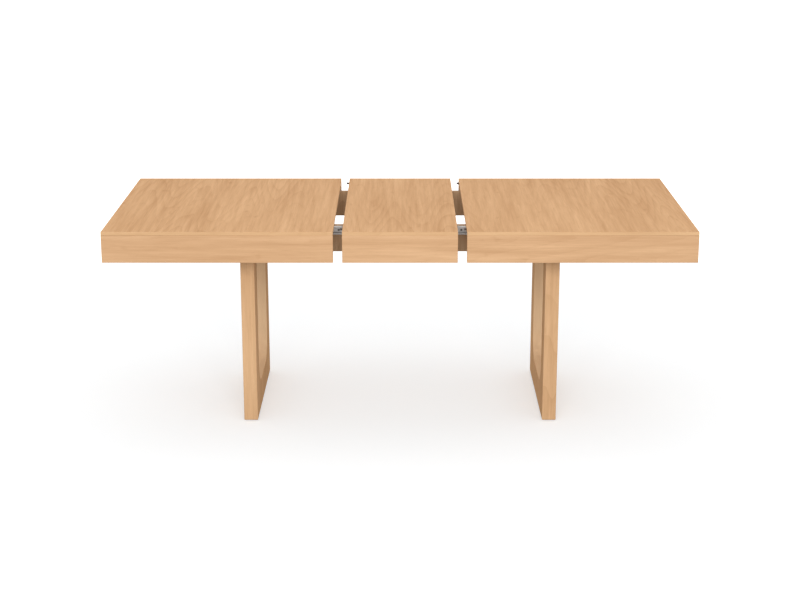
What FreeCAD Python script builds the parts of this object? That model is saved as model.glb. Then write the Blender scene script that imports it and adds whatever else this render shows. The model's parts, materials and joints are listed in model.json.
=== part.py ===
import FreeCAD, Part
import math
import os

# Extending dining table: two top halves that slide apart on a fixed base, with a loose leaf between them.
# Millimetres. The origin is on the floor under the middle, X runs along the table, -Y is the front.

Vector = FreeCAD.Vector
ALONG = Vector(1, 0, 0)
ACROSS = Vector(0, 1, 0)
UP = Vector(0, 0, 1)
SIDES = {"left": -1, "right": 1}
ROWS = {"front": -1, "rear": 1}

# Table as a whole
table_height = 750
table_depth = 900
half_length = 800
leaf_length = 400
shown_gap = 32
closed_seam = 0.5
outward_travel = 18

# Top boards and aprons
board_thickness = 13
board_rounding = 1
apron_height = 97
apron_thickness = 22
apron_rounding = 1
corner_block_side = 40
corner_block_height = 60

# Leg panels and their glides
leg_thickness = 50
leg_setback = 160
closed_overhang = 230
leg_member = 95
leg_corner_radius = 100
leg_rounding = 1.5
glide_radius = 15
glide_height = 3
glide_inset = 45
glide_spigot_radius = 4
glide_spigot_length = 12

# Rails of the base and the felt pads that carry the leaf
top_clearance = 2
rail_height = 95
rail_thickness = 22
pad_length = 40
pad_inset = 30

# Steel angle brackets with their bolts and threaded inserts
bracket_side = 40
bracket_height = 60
bracket_sheet = 3
bracket_hole_shares = (0.25, 0.75)
bracket_hole_inset = 24
bolt_radius = 3
bolt_length = 18
bolt_head_radius = 5.8
bolt_head_height = 4
insert_wall = 1.9
insert_length = 15

# Countersunk wood screws
screw_length = 16
screw_head_radius = 4
screw_head_depth = 2.2
screw_shank_radius = 2
screw_tip_length = 4
screw_tip_radius = 0.4
screw_slot_width = 1.2
screw_slot_length = 4.8
screw_slot_depth = 1.2

# Ball slides between the rails and the carriers
slide_inset = 30
slide_end_clearance = 10
slide_height = 30
slide_depth = 13
slide_drop = 1
slide_sheet = 1.5
channel_depth = 10.5
channel_lip = 3
runner_height = 16
slide_screw_shares = (0.0625, 0.39, 0.7, 0.9375)
cage_end_clearance = 30
cage_sheet = 0.9
cage_gap = 0.6
cage_finger = 0.9
ball_play = 0.3
balls_in_row = 8

# Carriers and battens under the top halves
carrier_thickness = 22
carrier_height = 77
carrier_setback = 13
carrier_end_setback = 127
batten_width = 40
outer_batten_height = 30
outer_batten_setback = 5
inner_batten_height = 25
inner_batten_setback = 10
inner_batten_clearance = 48
leaf_batten_setback = 10
leaf_batten_clearance = 18

# Stops that end the outward travel
stop_length = 20
stop_height = 24
stop_thickness = 12
stop_lift = 22
stop_setback = 15

# Alignment pins and their bushes
pin_radius = 4
pin_proud = 10
pin_seat = 20
pin_inset = 68
pin_tip = 1
pin_play = 0.3
bush_wall = 0.7
bush_length = 12

# Locks that draw the halves to the leaf
lock_plate_sheet = 2
lock_plate_width = 36
lock_plate_length = 60
lock_screw_inset = 10
lever_sheet = 3
lever_width = 18
lever_tip = 14
lever_tab_sheet = 3
lever_tab_drop = 10
lever_play = 0.4
pivot_radius = 4
pivot_head_radius = 7
pivot_head_height = 2
keeper_radius = 3
keeper_thread_radius = 2.5
keeper_thread_length = 15
keeper_head_radius = 6
keeper_head_height = 2.5
keeper_head_gap = 1

# Clearances shared by holes and cuts
hole_clearance = 0.1
stop_clearance = 0.3
overrun = 1

# Places that follow from the sizes
leaf_edge = leaf_length / 2
inner_edge = leaf_edge + shown_gap
outer_end = inner_edge + half_length
front_edge = table_depth / 2
apron_inner_face = front_edge - apron_thickness
board_underside = table_height - board_thickness
apron_bottom = board_underside - apron_height
board_middle = table_height - board_thickness / 2
leg_top = board_underside - top_clearance
leg_outside = half_length - closed_overhang
leg_inside = leg_outside - leg_thickness
leg_middle = leg_outside - leg_thickness / 2
rail_face = front_edge - leg_setback
rail_inner_face = rail_face - rail_thickness
rail_bottom = leg_top - rail_height
rail_middle = leg_top - rail_height / 2
slide_middle = leg_top - slide_drop - slide_height / 2
slide_length = leg_inside - slide_inset - slide_end_clearance
slide_travel_shown = inner_edge
carrier_face = rail_face + slide_depth
carrier_start = inner_edge + carrier_setback
carrier_end = outer_end - carrier_end_setback
inner_batten_start = inner_edge + inner_batten_setback
inner_batten_bottom = board_underside - inner_batten_height
leaf_batten_start = leaf_edge - leaf_batten_setback - batten_width
lock_pivot = inner_batten_start + batten_width / 2
keeper_place = leaf_batten_start + batten_width / 2
lever_reach = lock_pivot - keeper_place - shown_gap + closed_seam
lever_top = inner_batten_bottom - lock_plate_sheet - lever_play
lever_bottom = lever_top - lever_sheet
ball_channel = slide_height / 2 - slide_sheet - runner_height / 2
ball_radius = ball_channel / 2 - ball_play
ball_height = runner_height / 2 + ball_channel / 2
cage_length = slide_length - slide_travel_shown - outward_travel - cage_end_clearance
cage_back = slide_sheet + cage_gap
cage_front = cage_back + cage_sheet
ball_depth = slide_sheet + ball_play + ball_radius


def box(x_span, y_span, z_span):
    """Box between two values on each axis, given in either order."""
    low = Vector(min(x_span), min(y_span), min(z_span))
    high = Vector(max(x_span), max(y_span), max(z_span))
    size = high - low
    return Part.makeBox(size.x, size.y, size.z, low)


def prism(points, rise):
    """Solid swept by a flat outline that moves along rise."""
    solid = Part.Face(Part.makePolygon(points + points[:1])).extrude(rise)
    if solid.Volume < 0:
        solid.reverse()
    return solid


def straight_edges(shape, axis, level=None):
    """Straight edges along an axis, all of them or those at one height."""
    found = []
    for edge in shape.Edges:
        first, last = edge.firstVertex().Point, edge.lastVertex().Point
        along = (last - first).cross(axis).Length < hole_clearance
        at_level = level is None or abs(first.z - level) + abs(last.z - level) < hole_clearance
        if along and at_level and (last - first).Length > hole_clearance:
            found.append(edge)
    return found


def placed(unit, point, direction):
    """Copy of a unit piece, modelled along +Z, moved to a point and turned to a direction."""
    copy = unit.copy()
    copy.Placement = FreeCAD.Placement(point, FreeCAD.Rotation(UP, direction))
    return copy


def drilled(shape, tools):
    """Shape with a list of tool solids cut out of it."""
    return shape.cut(Part.makeCompound(tools))


def save(name, *solids):
    """Write one node, a single solid or a group of like solids."""
    shape = solids[0] if len(solids) == 1 else Part.makeCompound(list(solids))
    shape.exportStep("parts/" + name + ".step")


# Fasteners


def screw_body(grow):
    """Countersunk screw with its head flat at the origin and its tip along +Z."""
    head = screw_head_radius + grow
    shank = screw_shank_radius + grow
    shank_length = screw_length - screw_head_depth - screw_tip_length
    tip_start = screw_head_depth + shank_length
    body = Part.makeCone(head, shank, screw_head_depth)
    body = body.fuse(Part.makeCylinder(shank, shank_length, Vector(0, 0, screw_head_depth)))
    tip = Part.makeCone(shank, screw_tip_radius + grow, screw_tip_length + grow, Vector(0, 0, tip_start))
    return body.fuse(tip).removeSplitter()


def screw_slots():
    """Cross slot in the head of a screw."""
    wide = (-screw_slot_width / 2, screw_slot_width / 2)
    long = (-screw_slot_length / 2, screw_slot_length / 2)
    deep = (-overrun, screw_slot_depth)
    return box(wide, long, deep).fuse(box(long, wide, deep))


SCREW = screw_body(0).cut(screw_slots())
SCREW_HOLE = screw_body(hole_clearance).fuse(
    Part.makeCylinder(screw_head_radius + hole_clearance, overrun, Vector(0, 0, -overrun)))


def hex_bolt():
    """Hexagon bolt with the underside of its head at the origin and its shank along +Z."""
    corners = []
    for step in range(6):
        angle = math.radians(60 * step)
        corner = Vector(math.cos(angle), math.sin(angle), 0) * bolt_head_radius
        corners.append(corner - UP * bolt_head_height)
    head = prism(corners, UP * bolt_head_height)
    return head.fuse(Part.makeCylinder(bolt_radius, bolt_length)).removeSplitter()


def threaded_insert():
    """Sleeve that takes a bolt, with its mouth at the origin and its depth along +Z."""
    sleeve = Part.makeCylinder(bolt_radius + hole_clearance + insert_wall, insert_length)
    return sleeve.cut(Part.makeCylinder(bolt_radius + hole_clearance, insert_length))


BOLT = hex_bolt()
BOLT_HOLE = Part.makeCylinder(bolt_radius + hole_clearance, bolt_length + overrun)
INSERT = threaded_insert()
INSERT_HOLE = Part.makeCylinder(bolt_radius + insert_wall + 2 * hole_clearance, bolt_length + overrun)


# Places of the fasteners, each a point on the head's seat and the way that the tip points


def bracket_levels():
    """Heights of the two fasteners on each side of a bracket."""
    low = rail_middle - bracket_height / 2
    return [low + share * bracket_height for share in bracket_hole_shares]


def leg_bolt_places(side):
    """Bolts through the brackets into one leg panel."""
    places = []
    for row in ROWS.values():
        for level in bracket_levels():
            y = row * (rail_inner_face - bracket_hole_inset)
            places.append((Vector(side * (leg_inside - bracket_sheet), y, level), ALONG * side))
    return places


def rail_bracket_places(row):
    """Screws through the brackets into one long rail."""
    y = row * (rail_inner_face - bracket_sheet)
    leg_corner = leg_inside - bracket_hole_inset
    middle_corner = rail_thickness / 2 + bracket_hole_inset
    places = []
    for side in SIDES.values():
        for corner in (leg_corner, middle_corner):
            for level in bracket_levels():
                places.append((Vector(side * corner, y, level), ACROSS * row))
    return places


def middle_bracket_places():
    """Screws through the brackets into the middle rail, staggered so that their tips pass."""
    places = []
    for side in SIDES.values():
        for row in ROWS.values():
            y = row * (rail_inner_face - bracket_hole_inset)
            stagger = side * 2 * screw_head_radius
            for level in bracket_levels():
                point = Vector(side * (rail_thickness / 2 + bracket_sheet), y, level + stagger)
                places.append((point, ALONG * -side))
    return places


def channel_screw_places(side, row):
    """Screws that hold a fixed slide channel to its rail."""
    y = row * (rail_face + slide_sheet)
    return [(Vector(side * (slide_inset + share * slide_length), y, slide_middle), ACROSS * -row)
            for share in slide_screw_shares]


def runner_screw_places(side, row):
    """Screws that hold a slide runner to its carrier."""
    y = row * (carrier_face - slide_sheet)
    start = slide_inset + slide_travel_shown
    return [(Vector(side * (start + share * slide_length), y, slide_middle), ACROSS * row)
            for share in slide_screw_shares]


def lock_screw_places(side):
    """Screws that hold a lock's plate to the inner batten."""
    reach = lock_plate_length / 2 - lock_screw_inset
    level = inner_batten_bottom - lock_plate_sheet
    return [(Vector(side * lock_pivot, row * reach, level), UP) for row in ROWS.values()]


def screws(places):
    """One screw at each place."""
    return [placed(SCREW, point, way) for point, way in places]


def screw_holes(places):
    """One screw hole at each place."""
    return [placed(SCREW_HOLE, point, way) for point, way in places]


# Base


def leg_panel(side):
    """Upright frame cut from one thick panel, with a large rounded opening."""
    panel = box((side * leg_inside, side * leg_outside), (-rail_face, rail_face), (glide_height, leg_top))
    panel = panel.makeFillet(leg_rounding, panel.Edges)
    reach = rail_face - leg_member
    sides = (side * (leg_inside - overrun), side * (leg_outside + overrun))
    levels = (glide_height + leg_member, leg_top - leg_member)
    opening = box(sides, (-reach, reach), levels)
    corner = min(leg_corner_radius, reach - overrun)
    panel = panel.cut(opening.makeFillet(corner, straight_edges(opening, ALONG)))
    panel = panel.makeFillet(leg_rounding, opening_rims(panel, reach, levels))
    holes = [placed(INSERT_HOLE, point + way * bracket_sheet, way) for point, way in leg_bolt_places(side)]
    holes += [Part.makeCylinder(glide_spigot_radius + hole_clearance, glide_spigot_length + glide_height, base)
              for base in glide_places(side)]
    return drilled(panel, holes)


def opening_rims(panel, reach, levels):
    """Edges round both mouths of a leg panel's opening."""
    rims = []
    for edge in panel.Edges:
        bounds = edge.BoundBox
        inside = max(-bounds.YMin, bounds.YMax) < reach + overrun
        between = bounds.ZMin > min(levels) - overrun and bounds.ZMax < max(levels) + overrun
        if inside and between and bounds.XLength < hole_clearance:
            rims.append(edge)
    return rims


def glide_places(side):
    """Floor points under the middles of a leg panel's glides."""
    return [Vector(side * leg_middle, row * (rail_face - glide_inset), 0) for row in ROWS.values()]


def glide(base):
    """Plastic foot disc with a spigot that is driven into the leg."""
    disc = Part.makeCylinder(glide_radius, glide_height, base)
    spigot = Part.makeCylinder(glide_spigot_radius, glide_height + glide_spigot_length - hole_clearance, base)
    return disc.fuse(spigot).removeSplitter()


def long_rail(row):
    """Rail between the two legs that carries the slides on its outer face."""
    levels = (rail_bottom, leg_top)
    rail = box((-leg_inside, leg_inside), (row * rail_inner_face, row * rail_face), levels)
    rail = rail.makeFillet(apron_rounding, straight_edges(rail, ALONG))
    places = rail_bracket_places(row)
    for side in SIDES.values():
        places = places + channel_screw_places(side, row)
    return drilled(rail, screw_holes(places))


def middle_rail():
    """Cross rail that ties the two long rails together under the leaf."""
    reach = rail_thickness / 2
    rail = box((-reach, reach), (-rail_inner_face, rail_inner_face), (rail_bottom, leg_top))
    return drilled(rail, screw_holes(middle_bracket_places()))


def leaf_pad(side, row):
    """Felt strip on a long rail that the leaf rests on."""
    end = leaf_edge - pad_inset
    width = (row * (rail_inner_face + apron_rounding), row * (rail_face - apron_rounding))
    return box((side * end, side * (end - pad_length)), width, (leg_top, board_underside))


def angle_bracket(corner, side, row, holes):
    """Steel angle in an upright corner, with one flange along X and one along Y."""
    levels = (corner.z - bracket_height / 2, corner.z + bracket_height / 2)
    x_end = corner.x + side * bracket_side
    y_end = corner.y + row * bracket_side
    along = box((corner.x, x_end), (corner.y, corner.y + row * bracket_sheet), levels)
    across = box((corner.x, corner.x + side * bracket_sheet), (corner.y, y_end), levels)
    return drilled(along.fuse(across).removeSplitter(), holes)


def angle_brackets():
    """Brackets that join the long rails to the legs and to the middle rail."""
    bolt_holes = [placed(BOLT_HOLE, point, way)
                  for side in SIDES.values() for point, way in leg_bolt_places(side)]
    rail_holes = [hole for row in ROWS.values() for hole in screw_holes(rail_bracket_places(row))]
    middle_holes = screw_holes(middle_bracket_places())
    brackets = []
    for side in SIDES.values():
        for row in ROWS.values():
            y = row * rail_inner_face
            at_leg = Vector(side * leg_inside, y, rail_middle)
            at_middle = Vector(side * rail_thickness / 2, y, rail_middle)
            brackets.append(angle_bracket(at_leg, -side, -row, bolt_holes + rail_holes))
            brackets.append(angle_bracket(at_middle, side, -row, middle_holes + rail_holes))
    return brackets


def slide_bar(outline, side, row, start):
    """Bar of a slide, from its section as pairs of depth off the rail and height off its middle."""
    points = [Vector(side * start, row * (rail_face + depth), slide_middle + height)
              for depth, height in outline]
    return prism(points, ALONG * side * slide_length)


def slide_channel(side, row):
    """Fixed member of a slide, a channel with turned-in lips, on the outer face of a rail."""
    top = slide_height / 2
    lip = top - slide_sheet - channel_lip
    inside = channel_depth - slide_sheet
    upper = [(slide_sheet, top - slide_sheet), (inside, top - slide_sheet), (inside, lip),
             (channel_depth, lip), (channel_depth, top), (0, top)]
    lower = [(depth, -height) for depth, height in reversed(upper)]
    channel = slide_bar(lower + upper, side, row, slide_inset)
    return drilled(channel, screw_holes(channel_screw_places(side, row)))


def slide_runner(side, row):
    """Moving member of a slide, a narrower channel inside the fixed one, on a carrier."""
    top = runner_height / 2
    tip = cage_front + cage_gap
    inside = slide_depth - slide_sheet
    outline = [(tip, -top), (slide_depth, -top), (slide_depth, top), (tip, top),
               (tip, top - slide_sheet), (inside, top - slide_sheet),
               (inside, slide_sheet - top), (tip, slide_sheet - top)]
    runner = slide_bar(outline, side, row, slide_inset + slide_travel_shown)
    return drilled(runner, screw_holes(runner_screw_places(side, row)))


def ball_places(side, row):
    """Centres of the balls in the two rows of one slide."""
    middle = slide_inset + slide_length / 2 + slide_travel_shown / 2
    pitch = cage_length / balls_in_row
    places = []
    for step in range(balls_in_row):
        x = middle - cage_length / 2 + pitch * (step + 0.5)
        for height in (-ball_height, ball_height):
            places.append(Vector(side * x, row * (rail_face + ball_depth), slide_middle + height))
    return places


def ball_cage(side, row):
    """Strip that keeps the balls of one slide apart, with fingers between them."""
    middle = slide_inset + slide_length / 2 + slide_travel_shown / 2
    ends = (side * (middle - cage_length / 2), side * (middle + cage_length / 2))
    reach = ball_height + cage_finger / 2
    web_span = (row * (rail_face + cage_back), row * (rail_face + cage_front))
    finger_span = (row * (rail_face + cage_back), row * (rail_face + ball_depth))
    cage = box(ends, web_span, (slide_middle - reach, slide_middle + reach))
    for level in (slide_middle - ball_height, slide_middle + ball_height):
        cage = cage.fuse(box(ends, finger_span, (level - cage_finger / 2, level + cage_finger / 2)))
    pockets = []
    for place in ball_places(side, row):
        pocket_radius = ball_radius + hole_clearance
        low = place - UP * pocket_radius
        pockets.append(Part.makeCylinder(pocket_radius, 2 * pocket_radius, low))
    return drilled(cage.removeSplitter(), pockets)


def stop_levels():
    """Bottom and top of the travel stops."""
    return (rail_bottom + stop_lift, rail_bottom + stop_lift + stop_height)


def travel_stop(side, row):
    """Buffer on the outer face of a rail that ends the outward travel."""
    start = inner_edge + stop_setback + stop_length + outward_travel + stop_clearance
    return box((side * start, side * (start + stop_length)),
               (row * rail_face, row * (rail_face + stop_thickness)), stop_levels())


# Top halves


def top_board(low_x, high_x, sockets):
    """Flat board with softly rounded upper edges and round sockets in its end edges."""
    board = box((low_x, high_x), (-front_edge, front_edge), (board_underside, table_height))
    upper = straight_edges(board, ALONG, table_height) + straight_edges(board, ACROSS, table_height)
    return drilled(board.makeFillet(board_rounding, upper), sockets)


def apron(outline, axis):
    """Edge board under the top, from its plan outline, with softened lower edges along an axis."""
    board = prism([Vector(x, y, apron_bottom) for x, y in outline], UP * apron_height)
    return board.makeFillet(apron_rounding, straight_edges(board, axis, apron_bottom))


def side_apron(side, row):
    """Front or rear apron of a top half, mitred at its outer end."""
    outline = [(side * inner_edge, row * front_edge), (side * outer_end, row * front_edge),
               (side * (outer_end - apron_thickness), row * apron_inner_face),
               (side * inner_edge, row * apron_inner_face)]
    return apron(outline, ALONG)


def end_apron(side):
    """Apron across the outer end of a top half, mitred at both ends."""
    inner = side * (outer_end - apron_thickness)
    outline = [(side * outer_end, -front_edge), (side * outer_end, front_edge),
               (inner, apron_inner_face), (inner, -apron_inner_face)]
    return apron(outline, ACROSS)


def corner_block(side, row):
    """Triangular block that stiffens a mitred apron corner."""
    x = side * (outer_end - apron_thickness)
    y = row * apron_inner_face
    low = board_underside - corner_block_height
    points = [Vector(x, y, low), Vector(x - side * corner_block_side, y, low),
              Vector(x, y - row * corner_block_side, low)]
    return prism(points, UP * corner_block_height)


def carrier(side, row):
    """Batten under a top half that the runner is screwed to."""
    bar = box((side * carrier_start, side * carrier_end),
              (row * carrier_face, row * (carrier_face + carrier_thickness)),
              (board_underside - carrier_height, board_underside))
    return drilled(bar, screw_holes(runner_screw_places(side, row)))


def stop_block(side, row):
    """Block on a carrier that meets the travel stop."""
    start = inner_edge + stop_setback
    return box((side * start, side * (start + stop_length)),
               (row * carrier_face, row * (carrier_face - stop_thickness)), stop_levels())


def outer_batten(side):
    """Cross batten between the outer ends of the carriers."""
    end = carrier_end - outer_batten_setback
    return box((side * end, side * (end - batten_width)), (-carrier_face, carrier_face),
               (board_underside - outer_batten_height, board_underside))


def inner_batten(side):
    """Cross batten under the inner edge of a top half, between the rails."""
    reach = rail_inner_face - inner_batten_clearance
    bar = box((side * inner_batten_start, side * (inner_batten_start + batten_width)), (-reach, reach),
              (inner_batten_bottom, board_underside))
    return drilled(bar, screw_holes(lock_screw_places(side)))


# Alignment pins and bushes


def edge_points(x):
    """Middles of the board's edge where the front and rear pins enter, at one end of a board."""
    return [Vector(x, row * (front_edge - pin_inset), board_middle) for row in ROWS.values()]


def pin(point):
    """Steel pin that points along -X out of a board's edge."""
    straight = pin_seat + pin_proud - pin_tip
    body = Part.makeCylinder(pin_radius, straight, point + ALONG * pin_seat, -ALONG)
    tip = Part.makeCone(pin_radius, pin_radius - pin_tip, pin_tip, point - ALONG * (pin_proud - pin_tip), -ALONG)
    return body.fuse(tip).removeSplitter()


def pin_socket(point):
    """Hole in a board's edge for the seated length of a pin."""
    return Part.makeCylinder(pin_radius + hole_clearance, pin_seat + overrun, point - ALONG * overrun, ALONG)


def bush(point):
    """Lining of the hole that takes a pin, in the edge that faces +X."""
    bore = pin_radius + pin_play
    sleeve = Part.makeCylinder(bore + bush_wall, bush_length, point, -ALONG)
    return sleeve.cut(Part.makeCylinder(bore, bush_length, point, -ALONG))


def bush_socket(point):
    """Hole in a board's edge for a bush and the tip of the pin."""
    radius = pin_radius + pin_play + bush_wall + hole_clearance
    return Part.makeCylinder(radius, bush_length + 2 * overrun, point + ALONG * overrun, -ALONG)


# Locks


def lock_plate(side):
    """Plate under the inner batten with the riveted pivot of the lever."""
    plate_bottom = inner_batten_bottom - lock_plate_sheet
    middle = side * lock_pivot
    plate = box((middle - lock_plate_width / 2, middle + lock_plate_width / 2),
                (-lock_plate_length / 2, lock_plate_length / 2), (plate_bottom, inner_batten_bottom))
    head_top = lever_bottom - lever_play
    head_bottom = head_top - pivot_head_height
    post = Part.makeCylinder(pivot_radius, plate_bottom - head_bottom, Vector(middle, 0, head_bottom))
    head = Part.makeCylinder(pivot_head_radius, pivot_head_height, Vector(middle, 0, head_bottom))
    return drilled(plate.fuse([post, head]).removeSplitter(), screw_holes(lock_screw_places(side)))


def lock_lever(side):
    """Flat lever, parked towards the front, with an arc slot that hooks the keeper when it is turned."""
    pivot = Vector(side * lock_pivot, 0, lever_bottom)
    levels = (lever_bottom, lever_top)
    half_width = lever_width / 2
    tip = -lever_reach - lever_tip
    arm = box((pivot.x - half_width, pivot.x + half_width), (tip, 0), levels)
    arm = arm.fuse(Part.makeCylinder(half_width + lever_play, lever_sheet, pivot))
    tab_levels = (lever_bottom - lever_tab_drop, lever_top)
    tab = box((pivot.x - half_width, pivot.x + half_width), (tip, tip - lever_tab_sheet), tab_levels)
    slot_radius = keeper_radius + lever_play
    ring = Part.makeCylinder(lever_reach + slot_radius, lever_sheet, pivot)
    ring = ring.cut(Part.makeCylinder(lever_reach - slot_radius, lever_sheet, pivot))
    mouth = box((pivot.x, pivot.x - side * lever_width), (tip, -half_width), levels)
    slot_end = Part.makeCylinder(slot_radius, lever_sheet, pivot - ACROSS * lever_reach)
    hole = Part.makeCylinder(pivot_radius + lever_play, lever_sheet, pivot)
    return drilled(arm.fuse(tab).removeSplitter(), [ring.common(mouth), slot_end, hole])


def keeper(side):
    """Headed stud under the leaf that a lever hooks."""
    shank_bottom = lever_bottom - keeper_head_gap
    foot = Vector(side * keeper_place, 0, shank_bottom - keeper_head_height)
    head = Part.makeCylinder(keeper_head_radius, keeper_head_height, foot)
    shank_length = inner_batten_bottom - foot.z
    shank = Part.makeCylinder(keeper_radius, shank_length, foot)
    thread = Part.makeCylinder(keeper_thread_radius, shank_length + keeper_thread_length, foot)
    return head.fuse([shank, thread]).removeSplitter()


# Leaf


def leaf_apron(row):
    """Front or rear apron of the leaf."""
    outline = [(-leaf_edge, row * front_edge), (leaf_edge, row * front_edge),
               (leaf_edge, row * apron_inner_face), (-leaf_edge, row * apron_inner_face)]
    return apron(outline, ALONG)


def leaf_batten(side):
    """Cross batten under one end of the leaf that holds a keeper."""
    reach = rail_inner_face - leaf_batten_clearance
    bar = box((side * leaf_batten_start, side * (leaf_batten_start + batten_width)), (-reach, reach),
              (inner_batten_bottom, board_underside))
    foot = Vector(side * keeper_place, 0, inner_batten_bottom - overrun)
    depth = keeper_thread_length + 2 * overrun
    return drilled(bar, [Part.makeCylinder(keeper_thread_radius + hole_clearance, depth, foot)])


# Nodes


def build_base():
    """Legs, rails, brackets, fasteners and the fixed halves of the slides."""
    for name, side in SIDES.items():
        save(name + "_leg_panel", leg_panel(side))
    for name, row in ROWS.items():
        save(name + "_rail", long_rail(row))
    save("middle_rail", middle_rail())
    bases = [base for side in SIDES.values() for base in glide_places(side)]
    save("leg_glides", *[glide(base) for base in bases])
    save("angle_brackets", *angle_brackets())
    bolts = [place for side in SIDES.values() for place in leg_bolt_places(side)]
    save("leg_bolts", *[placed(BOLT, point, way) for point, way in bolts])
    save("leg_inserts", *[placed(INSERT, point + way * bracket_sheet, way) for point, way in bolts])
    places = middle_bracket_places()
    corners = [(side, row) for side in SIDES.values() for row in ROWS.values()]
    for row in ROWS.values():
        places = places + rail_bracket_places(row)
    for side, row in corners:
        places = places + channel_screw_places(side, row)
    save("base_screws", *screws(places))
    save("leaf_pads", *[leaf_pad(side, row) for side, row in corners])
    save("travel_stops", *[travel_stop(side, row) for side, row in corners])


def build_half(name, side):
    """One top half with its aprons, carriers and lock, and its slides."""
    edge = edge_points(side * inner_edge)
    sockets = [bush_socket(point) for point in edge] if side < 0 else [pin_socket(point) for point in edge]
    save(name + "_top_board", top_board(side * inner_edge, side * outer_end, sockets))
    if side < 0:
        save(name + "_pin_bushes", *[bush(point) for point in edge])
    else:
        save(name + "_pins", *[pin(point) for point in edge])
    save(name + "_end_apron", end_apron(side))
    save(name + "_outer_batten", outer_batten(side))
    save(name + "_inner_batten", inner_batten(side))
    places = lock_screw_places(side)
    for row_name, row in ROWS.items():
        save(name + "_" + row_name + "_apron", side_apron(side, row))
        save(name + "_" + row_name + "_carrier", carrier(side, row))
        save(name + "_" + row_name + "_channel", slide_channel(side, row))
        save(name + "_" + row_name + "_runner", slide_runner(side, row))
        places = places + runner_screw_places(side, row)
    rows = ROWS.values()
    save(name + "_corner_blocks", *[corner_block(side, row) for row in rows])
    save(name + "_stop_blocks", *[stop_block(side, row) for row in rows])
    save(name + "_half_screws", *screws(places))
    save(name + "_ball_cages", *[ball_cage(side, row) for row in rows])
    centres = [place for row in rows for place in ball_places(side, row)]
    save(name + "_balls", *[Part.makeSphere(ball_radius, centre) for centre in centres])
    save(name + "_lock_plate", lock_plate(side))
    save(name + "_lock_lever", lock_lever(side))


def build_leaf():
    """Loose leaf with its aprons, battens, pins, bushes and keepers."""
    pins = edge_points(-leaf_edge)
    bushes = edge_points(leaf_edge)
    sockets = [pin_socket(point) for point in pins] + [bush_socket(point) for point in bushes]
    save("leaf_board", top_board(-leaf_edge, leaf_edge, sockets))
    save("leaf_pins", *[pin(point) for point in pins])
    save("leaf_pin_bushes", *[bush(point) for point in bushes])
    for name, row in ROWS.items():
        save("leaf_" + name + "_apron", leaf_apron(row))
    for name, side in SIDES.items():
        save("leaf_" + name + "_batten", leaf_batten(side))
    save("lock_keepers", *[keeper(side) for side in SIDES.values()])


os.makedirs("parts", exist_ok=True)
build_base()
for half_name, half_side in SIDES.items():
    build_half(half_name, half_side)
build_leaf()
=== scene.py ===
import json
import math

import bmesh
import bpy
import numpy as np
from mathutils import Matrix, Vector

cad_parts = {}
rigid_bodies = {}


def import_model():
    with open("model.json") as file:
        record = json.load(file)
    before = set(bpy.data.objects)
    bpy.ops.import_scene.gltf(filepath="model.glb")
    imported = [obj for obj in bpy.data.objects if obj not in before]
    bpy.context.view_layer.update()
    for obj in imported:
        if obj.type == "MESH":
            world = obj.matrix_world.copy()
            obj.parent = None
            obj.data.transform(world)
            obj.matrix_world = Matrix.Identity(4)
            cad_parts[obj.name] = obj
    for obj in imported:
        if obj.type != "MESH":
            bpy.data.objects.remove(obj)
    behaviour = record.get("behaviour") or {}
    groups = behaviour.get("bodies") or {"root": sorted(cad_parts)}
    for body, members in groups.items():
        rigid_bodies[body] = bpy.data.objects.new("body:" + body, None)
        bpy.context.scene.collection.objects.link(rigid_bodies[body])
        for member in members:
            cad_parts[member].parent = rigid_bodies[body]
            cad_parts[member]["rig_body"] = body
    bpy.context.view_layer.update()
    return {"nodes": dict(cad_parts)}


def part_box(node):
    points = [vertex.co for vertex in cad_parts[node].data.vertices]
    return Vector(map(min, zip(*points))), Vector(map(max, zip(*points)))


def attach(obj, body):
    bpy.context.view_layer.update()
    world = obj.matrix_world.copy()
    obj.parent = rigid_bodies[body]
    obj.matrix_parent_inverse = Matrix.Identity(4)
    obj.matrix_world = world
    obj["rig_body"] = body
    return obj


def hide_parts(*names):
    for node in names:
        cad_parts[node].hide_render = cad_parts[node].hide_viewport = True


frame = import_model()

bl_info = {
    "name": "Extending dining table",
    "version": (1, 0, 0),
    "blender": (4, 5, 0),
    "location": "View3D > Sidebar > Table",
    "description": "Dresses the solids of an extending oak dining table and sets it on a white stage",
    "category": "Object",
}

MM = 0.001
QUARTER = math.pi / 2
AXES = "XYZ"
SIDES = ("left", "right")
ROWS = {"front": -1, "rear": 1}

# Points closer than this are one point
MERGE = 0.002 * MM
# Edges that turn by more than this are rounded, or stay sharp in the shading
SHARP = math.radians(30)
# Faces that turn by less than this are joined to one
LEVEL = math.radians(1)
# Part of one axis in the normal of a flat face, and of the up axis in the normal of a board's broad face
FLAT_SHARE = 0.999
BROAD_SHARE = 0.95


# Settings that a user would change

# Curve from a screen's colours to linear ones
SCREEN_OFFSET = 0.055
SCREEN_POWER = 2.4


def colour(name, description, *screen):
    """Colour setting with its default as a screen shows it, in steps of 255."""
    shares = [(part / 255 + SCREEN_OFFSET) / (1 + SCREEN_OFFSET) for part in screen]
    return bpy.props.FloatVectorProperty(
        name=name, description=description, default=[share ** SCREEN_POWER for share in shares],
        subtype="COLOR", size=3, min=0, max=1)


def number(name, description, value, **kind):
    """Number setting with its default and its kind."""
    return bpy.props.FloatProperty(name=name, description=description, default=value, **kind)


def length(name, description, metres):
    """Length setting with its default in metres."""
    return number(name, description, metres, subtype="DISTANCE", unit="LENGTH", min=0, precision=5)


def factor(name, description, share):
    """Setting between none and all of something."""
    return number(name, description, share, subtype="FACTOR", min=0, max=1)


def power(name, description, watts):
    """Strength of a lamp."""
    return number(name, description, watts, subtype="POWER", unit="POWER", min=0)


def count(name, description, value):
    """Whole number of steps."""
    return bpy.props.IntProperty(name=name, description=description, default=value, min=1)


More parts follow.
